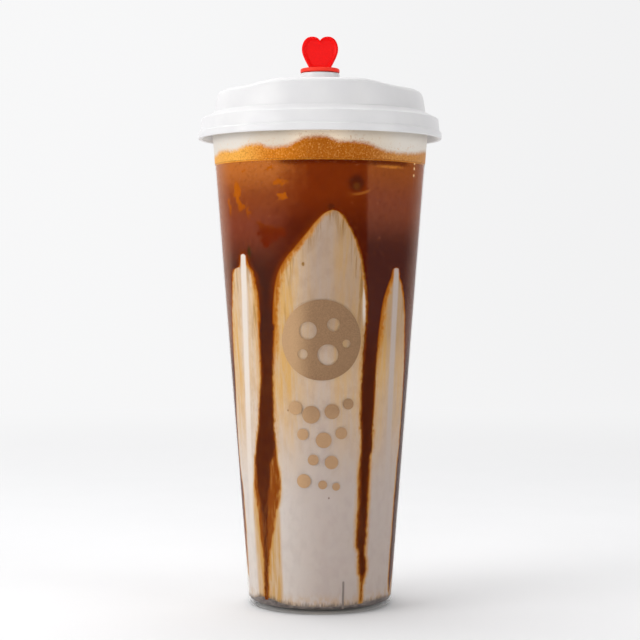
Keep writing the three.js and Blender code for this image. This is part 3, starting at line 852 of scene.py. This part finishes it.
def make_ribs(material):
    """Upright bars inside the wall, rounded at the top, seen through it as thin dark lines."""
    vertices, faces = [], []
    for middle in RIB_ANGLES:
        start = len(vertices)
        levels = [FLOOR_LEVEL + 0.3, 5, 8, 11, RIB_TOP - 0.5, RIB_TOP - 0.1]
        for z in levels:
            half = math.degrees((0.2 if z == levels[-1] else 0.4) / wall_radius(z))
            outer, inner = wall_radius(z) - 0.25, hollow_radius(z) - 0.5
            for angle, radius in ((-half, outer), (half, outer), (half, inner), (-half, inner)):
                vertices.append(round_point(radius, middle + angle, z))
        faces += column(start, len(levels), 4)
    return place(mesh_object("cup_ribs", vertices, faces), "frosted_plastic", material)


# The drink
def flame_height(angle, peak, left_reach, right_reach, rows):
    """Height of a rise of milk at an angle, read back from its edges."""
    turn = turn_from(angle, peak)
    side = 0 if turn < 0 else 1
    best = 0.0
    for (high, *upper), (low, *lower) in zip(rows, rows[1:]):
        near, far = abs(upper[side]), abs(lower[side])
        if near <= abs(turn) <= far and far > near:
            share = (abs(turn) - near) / (far - near)
            best = max(best, high + (low - high) * share)
    return best


WALL_LINES = {}


def wall_line(angle):
    """Height of the line at the wall, worked out once for each angle."""
    if angle not in WALL_LINES:
        heights = [flame_height(angle, *flame) for flame in ALL_FLAMES]
        WALL_LINES[angle] = max(FLAME_FOOT, *heights)
    return WALL_LINES[angle]


def border(share, angle):
    """Height where the milk ends: level in the core, rising or falling to its line at the wall."""
    outward = max(0.0, (share - CORE_SHARE) / (1 - CORE_SHARE))
    return CORE_LEVEL + (wall_line(angle) - CORE_LEVEL) * outward


def syrup_top(share, angle):
    return SYRUP_LEVEL + sum_of_bells(angle, PATCHES) * ease((share - 0.8) / 0.2)


SHARES = (0.25, 0.5, CORE_SHARE, 0.8, 0.87, 0.94, 1.0)


def side_levels(low, high, steps):
    return [drink_point(1, low + (high - low) * step / steps) for step in range(1, steps)]


def milk_outline(angle):
    foot = [drink_point(share, syrup_top(share, angle) + GAP) for share in SHARES]
    top = [drink_point(share, border(share, angle) - GAP) for share in reversed(SHARES)]
    side = side_levels(foot[-1][1], top[0][1], 24)
    return [(0, SYRUP_LEVEL + GAP), *foot, *side, *top, (0, CORE_LEVEL - GAP)]


def tea_outline(angle):
    foot = [drink_point(share, border(share, angle) + GAP) for share in SHARES]
    side = side_levels(foot[-1][1], DRINK_LEVEL, 12)
    return [(0, CORE_LEVEL + GAP), *foot, *side, drink_point(1, DRINK_LEVEL),
            drink_point(0.5, DRINK_LEVEL), (0, DRINK_LEVEL)]


def foam_top(share, angle):
    low = FOAM_MIDDLE + (foam_edge(angle) - FOAM_MIDDLE) * ease((share - 0.45) / 0.55)
    x, y, _ = round_point(40 * share, angle, 0)
    rough = 0.55 * noise.noise(Vector((x * 0.35, y * 0.35, 1.7)))
    rough += 0.28 * noise.noise(Vector((x * 0.9, y * 0.9, 5.1)))
    return low + rough


def foam_outline(angle):
    shares = [1 - step / 24 for step in range(24)]
    top = [drink_point(share, foam_top(share, angle)) for share in shares]
    side = side_levels(DRINK_LEVEL, top[0][1], 5)
    foot = [drink_point(share, DRINK_LEVEL + GAP) for share in (0, 0.5, 1)]
    return [*foot, *side, *top, (0, FOAM_MIDDLE)]


def syrup_outline(angle):
    floor = FLOOR_LEVEL + 0.05
    top = [drink_point(share, syrup_top(share, angle)) for share in reversed(SHARES)]
    corner = [drink_point(1, floor + rise) for rise in (0, 0.15, 0.4, 0.8)]
    return [(0, floor), *corner, *top, (0, SYRUP_LEVEL)]


def make_runs(material):
    """The thick syrup as low ridges on the milk, lens-shaped across."""
    vertices, faces = [], []
    for middle, rows in ALL_RUNS:
        start = len(vertices)
        heights, _, left, right, _ = zip(*sorted(rows))
        levels = np.linspace(rows[-1][0] + 0.5, 100, 40)
        left, right = np.interp(levels, heights, left), np.interp(levels, heights, right)
        for z, low, high in zip(levels, left, right):
            centre, half = (low + high) / 2, max(0.6, (high - low) / 2)
            outer = hollow_radius(z) + REACH + 0.015
            for share in (-1, -0.5, 0, 0.5, 1):
                vertices.append(round_point(outer, middle + centre + share * half, z))
            for share in (0.8, 0, -0.8):
                inner = outer - 0.1 - 1.2 * (1 - share ** 2)
                vertices.append(round_point(inner, middle + centre + share * half, z))
        faces += column(start, len(levels), 8)
    return place(mesh_object("syrup_runs", vertices, faces), "tea", material)


def make_drink():
    look = drink_material()
    place(turned("milk_body", milk_outline), "milk", look, "milk")
    place(turned("tea_body", tea_outline), "tea", look, "tea")
    make_runs(look)
    place(turned("foam_cap", foam_outline, sharp=80), "foam", foam_material(), "foam")
    place(turned("syrup_pool", syrup_outline), "syrup", syrup_material(), "syrup")


# The lid
def deck_rise(x, y):
    across = 1 - ease((abs(x) - 14.5) / 15.5)
    along = 1 - ease((y + 10) / 12)
    return DECK_RISE * across * along


DOME_RADII = (0, 6, 12, 18, 24, 30, 35)
LID_OUTLINE = (
    *((radius, DOME_LEVEL - LID_WALL) for radius in DOME_RADII),
    *arc(38.5, DOME_LEVEL - DOME_CORNER, DOME_CORNER - LID_WALL, 90, 0, 6),
    (40.9, LEDGE_LEVEL), (40.9, 191.0), *arc(41.3, 190.9, 0.4, 180, 360, 6),
    (41.8, SHOULDER_LEVEL + 0.3), (44.2, SHOULDER_LEVEL - 0.1), (45.7, SHOULDER_LEVEL - 1.2),
    (45.7, 190.0), (44.85, 188.5), (45.4, 187.4),
    (46.9, SKIRT_FOOT + 0.15), *arc(48.1, SKIRT_FOOT + 0.35, 0.35, -90, 0, 4),
    (48.5, SKIRT_FOOT + 1.0), *arc(48.05, SKIRT_FOOT + 2.35, 0.3, 0, 70, 4),
    *arc(48.1, 188.35, 0.45, 250, 180, 4),
    (47.45, 189.6), *arc(46.35, SHOULDER_LEVEL - 0.9, 0.8, 5, 72, 7),
    (44.2, 194.3), *arc(42.75, 195.95, 0.8, 255, 183, 6),
    (41.35, 200.2), *arc(38.5, DOME_LEVEL - DOME_CORNER, DOME_CORNER, 5, 90, 10),
    *((radius, DOME_LEVEL) for radius in reversed(DOME_RADII)),
)


def lid_outline(angle):
    points = []
    for radius, z in LID_OUTLINE:
        x, y, _ = round_point(radius, angle, 0)
        share = ease((z - LEDGE_LEVEL) / (DOME_LEVEL - LID_WALL - DOME_CORNER - LEDGE_LEVEL))
        points.append((radius, z + share * deck_rise(x, y)))
    return points


def make_lid(material):
    lid = turned("lid_shell", lid_outline)
    foot = DOME_LEVEL + DECK_RISE - LID_WALL / 2
    tube = [
        (0, foot), (SPOUT_RADIUS + 0.8, foot), (SPOUT_RADIUS + 0.75, foot + 0.55),
        *arc(SPOUT_RADIUS + 0.6, foot + 1.1, 0.6, 255, 180, 5),
        *arc(SPOUT_RADIUS - 0.3, SPOUT_TOP - 0.3, 0.3, 0, 90, 4), (0, SPOUT_TOP),
    ]
    combine(lid, upright("spout", tube), "UNION")
    bore = [(0, 200), (SPOUT_BORE_RADIUS, 200), (SPOUT_BORE_RADIUS, 212), (0, 212)]
    combine(lid, upright("bore", bore), "DIFFERENCE")
    return place(lid, "white_plastic", material, "lid")


# The plug
def heart_points():
    """The heart's outline, seen from the front, from the notch round to the notch."""
    half, notch, belly, foot = 7.0, HEART_TOP - 1.5, HEART_TOP - 5.0, SPOUT_TOP + 1.2
    curves = (
        ((0, notch), (0.5, notch + 0.9), (1.5, HEART_TOP), (3.1, HEART_TOP)),
        ((3.1, HEART_TOP), (5.6, HEART_TOP), (half, belly + 2.6), (half, belly)),
        ((half, belly), (half, belly - 2.0), (4.9, foot + 2.4), (3.5, foot)),
    )
    right = []
    for a, b, c, d in curves:
        for step in range(14):
            t = step / 14
            s = 1 - t
            right.append(tuple(
                s ** 3 * a[k] + 3 * s * s * t * b[k] + 3 * s * t * t * c[k] + t ** 3 * d[k]
                for k in range(2)))
    right.append((3.5, foot))
    left = [(-x, z) for x, z in reversed(right[1:])]
    return right + left


def make_plug(material):
    points = heart_points()
    count = len(points)
    half = 1.6
    steps = (
        (1.0, half - 0.5), (0.985, half - 0.2), (0.955, half - 0.04), (0.92, half),
        (0.87, half - 0.05), (0.83, half - 0.26), (0.80, half - 0.4), (0.72, half - 0.45),
    )
    rings = [(-depth, share) for share, depth in reversed(steps)]
    rings += [(depth, share) for share, depth in steps]
    centre = HEART_TOP - 6
    vertices, faces = [], []
    for depth, share in rings:
        for x, z in points:
            vertices.append((x * share, SPOUT_Y + depth, centre + (z - centre) * share))
    faces += bands(0, len(rings), count)
    for ring in (0, len(rings) - 1):
        vertices.append((0, SPOUT_Y + rings[ring][0], centre))
        for index in range(count):
            a, b = ring * count + index, ring * count + (index + 1) % count
            faces.append((b, a, len(vertices) - 1) if ring == 0 else (a, b, len(vertices) - 1))
    heart = mesh_object("heart_plug", vertices, faces, 50)
    foot = SPOUT_TOP + 0.3
    stem = SPOUT_BORE_RADIUS - 0.3
    outline = [
        (0, 201.6), *arc(stem - 0.8, 202.4, 0.8, -90, 0, 4), (stem, foot), (7.2, foot),
        *arc(7.2, foot + 0.35, 0.35, -80, 0, 4), *arc(6.95, foot + 1.0, 0.6, 0, 90, 6),
        (5.4, foot + 1.6), (0, foot + 1.6),
    ]
    combine(heart, upright("flange", outline), "UNION")
    return place(heart, "red_plastic", material, "plug")


# The print on the cup, a plain pattern of bubbles
PRINT_DISC = (0.6, 106.5, 15.4)
PRINT_DOTS = (
    (-9.5, 80.5, 2.6), (-3.4, 78.0, 3.4), (4.6, 79.2, 2.9), (11.0, 82.0, 2.1),
    (-6.6, 70.4, 2.2), (1.4, 68.2, 3.0), (8.2, 70.8, 2.3),
    (-2.6, 60.6, 2.1), (4.4, 59.6, 2.6), (-6.2, 52.4, 2.7), (1.0, 51.0, 1.7), (6.2, 50.2, 1.5),
)
DISC_HOLES = (
    (-5.2, 3.6, 3.4), (4.6, 5.8, 2.5), (2.4, -5.6, 4.0), (-7.2, -5.4, 1.9), (9.6, -1.4, 1.6),
)


def on_wall(across, z, proud):
    radius = wall_radius(z) + proud
    return round_point(radius, math.degrees(across / wall_radius(z)), z)


def print_sheet(name, middle, height, radius, holes, material):
    """A thin round sheet of ink on the wall, with round holes in it."""
    mesh = bmesh.new()
    loops = [(0, 0, radius, 96)] + [(x, z, size, 40) for x, z, size in holes]
    edges = []
    for x, z, size, steps in loops:
        ring = [mesh.verts.new((*point, 0)) for point in arc(x, z, size, 0, 360, steps)[:-1]]
        edges += [mesh.edges.new(pair) for pair in zip(ring, ring[1:] + ring[:1])]
    bmesh.ops.triangle_fill(mesh, edges=edges, use_beauty=True)
    bmesh.ops.subdivide_edges(mesh, edges=[e for e in mesh.edges if e.calc_length() > 3], cuts=3)
    bmesh.ops.triangulate(mesh, faces=mesh.faces)
    flat = [tuple(vertex.co) for vertex in mesh.verts]
    mesh.verts.index_update()
    faces = [tuple(vertex.index for vertex in face.verts) for face in mesh.faces]
    rim = [tuple(v.index for v in e.verts) for e in mesh.edges if e.is_boundary]
    mesh.free()
    count = len(flat)
    vertices = [on_wall(middle + x, height + z, 0.06) for x, z, _ in flat]
    vertices += [on_wall(middle + x, height + z, 0.01) for x, z, _ in flat]
    sheet = faces + [tuple(index + count for index in reversed(face)) for face in faces]
    sheet += [(a, b, b + count, a + count) for a, b in rim]
    piece = mesh_object(name, vertices, sheet)
    shaped = bmesh.new()
    shaped.from_mesh(piece.data)
    bmesh.ops.recalc_face_normals(shaped, faces=shaped.faces)
    shaped.to_mesh(piece.data)
    shaped.free()
    return place(piece, "frosted_plastic", material)


def make_print():
    ink = print_material()
    middle, height, radius = PRINT_DISC
    print_sheet("print_disc", middle, height, radius, DISC_HOLES, ink)
    for index, (across, z, size) in enumerate(PRINT_DOTS):
        print_sheet(f"print_dot_{index + 1}", across, z, size, (), ink)


# Room, light and camera
def make_floor():
    """A pale floor that curves up into a pale wall behind."""
    bend_start, bend_radius, wall_top = 1500, 800, 3500
    columns = (-3000, -900, 0, 900, 3000)
    profile = [(-4500, 0), (-1500, 0), (-300, 0), (0, 0), (700, 0)]
    profile += [(bend_start + bend_radius * math.sin(t), bend_radius * (1 - math.cos(t)))
                for t in np.linspace(0, math.pi / 2, 24)]
    profile += [(bend_start + bend_radius, wall_top)]
    vertices = [(x, y, z) for y, z in profile for x in columns]
    faces = []
    for row in range(len(profile) - 1):
        for column in range(len(columns) - 1):
            here = len(columns) * row + column
            beyond = here + len(columns)
            faces.append((here, here + 1, beyond + 1, beyond))
    floor = mesh_object("floor", vertices, faces)
    g = Graph("floor")
    x, y, z = g.axes
    grain = g.noise(0.02, 3.0, 0.5)
    away = g.math("SQRT", g.plus(g.times(x, x), g.times(y, y)))
    # Away from the cup the floor and the wall behind glow; the glow is painted light, a little
    # brighter on the left than on the right.
    far = g.fade(away, 160, 1000)
    glow = g.fade(x, -500, 600, 0.935, 0.885)
    shader = g.principled(
        Base_Color=g.tint(far, g.tint(grain, rgb(224, 224, 225), rgb(227, 227, 228)), (0, 0, 0, 1)),
        Roughness=g.uneven(grain, 0.6, 0.7), Specular_IOR_Level=0.0,
        Emission_Color=(1.0, 1.0, 1.005, 1),
        Emission_Strength=g.times(glow, g.plus(0.03, g.times(far, 0.97))))
    floor.data.materials.append(g.finish(shader))


def softbox(name, place_at, aim, width, height, power):
    light = bpy.data.lights.new(name, "AREA")
    light.shape = "RECTANGLE"
    light.size, light.size_y, light.energy = width, height, power
    lamp = bpy.data.objects.new(name, light)
    lamp.location = place_at
    lamp.rotation_euler = (Vector(aim) - Vector(place_at)).to_track_quat("-Z", "Y").to_euler()
    bpy.context.scene.collection.objects.link(lamp)


def make_room():
    """The room as it shows in the cup: pale walls at the sides, dark towards the camera."""
    g = Graph("room", world=True)
    x, y, _ = g.axes
    turn = g.math("ARCTAN2", x, g.times(y, -1.0))
    ramp = g.add("ShaderNodeValToRGB", {0: g.span(turn, -math.pi, math.pi)})
    side, stops = 0.75, ((-120, 0.6), (-60, 0.3), (-20, 0.04), (45, 0.04), (75, 0.25), (130, 0.5))
    elements = ramp.color_ramp.elements
    for end in (0, 1):
        elements[end].position, elements[end].color = end, (side, side, side, 1)
    for angle, level in stops:
        elements.new((angle + 180) / 360).color = (level, level, level, 1)
    glow = g.add("ShaderNodeBackground", {"Color": ramp.outputs[0], "Strength": 1.0})
    bpy.context.scene.world = g.finish(glow.outputs[0])


def make_light():
    middle = (0, 0, 0.11)
    softbox("key", (-1.05, -0.60, 0.42), middle, 0.8, 0.55, 8)
    softbox("front", (0.0, -1.2, 0.42), middle, 1.0, 0.4, 3.4)
    softbox("fill", (1.05, -0.55, 0.42), middle, 0.6, 0.6, 4)
    softbox("overhead", (-0.25, 0.20, 1.3), (0, 0.2, 0), 1.4, 1.4, 14)
    make_room()


def make_camera():
    """The photo's view: level with the drink, from the drinking side."""
    picture, focal, horizon = 640, 1700, 277
    camera = bpy.data.cameras.new("camera")
    camera.sensor_width = 36
    camera.lens = 36 * focal / picture
    camera.clip_start, camera.clip_end = 0.01, 50
    view = bpy.data.objects.new("camera", camera)
    pitch = math.atan((picture / 2 - horizon) / focal)
    view.location = (0, -0.680, 0.1304)
    view.rotation_euler = (math.pi / 2 - pitch, 0, 0)
    bpy.context.scene.collection.objects.link(view)
    bpy.context.scene.camera = view
    bpy.context.scene.view_settings.view_transform = "Standard"


make_camera()
make_floor()
make_light()
make_drink()
make_cup(frosted_material())
make_ribs(rib_material())
make_lid(white_plastic())
make_plug(red_plastic())
make_print()

bpy.context.view_layer.update()
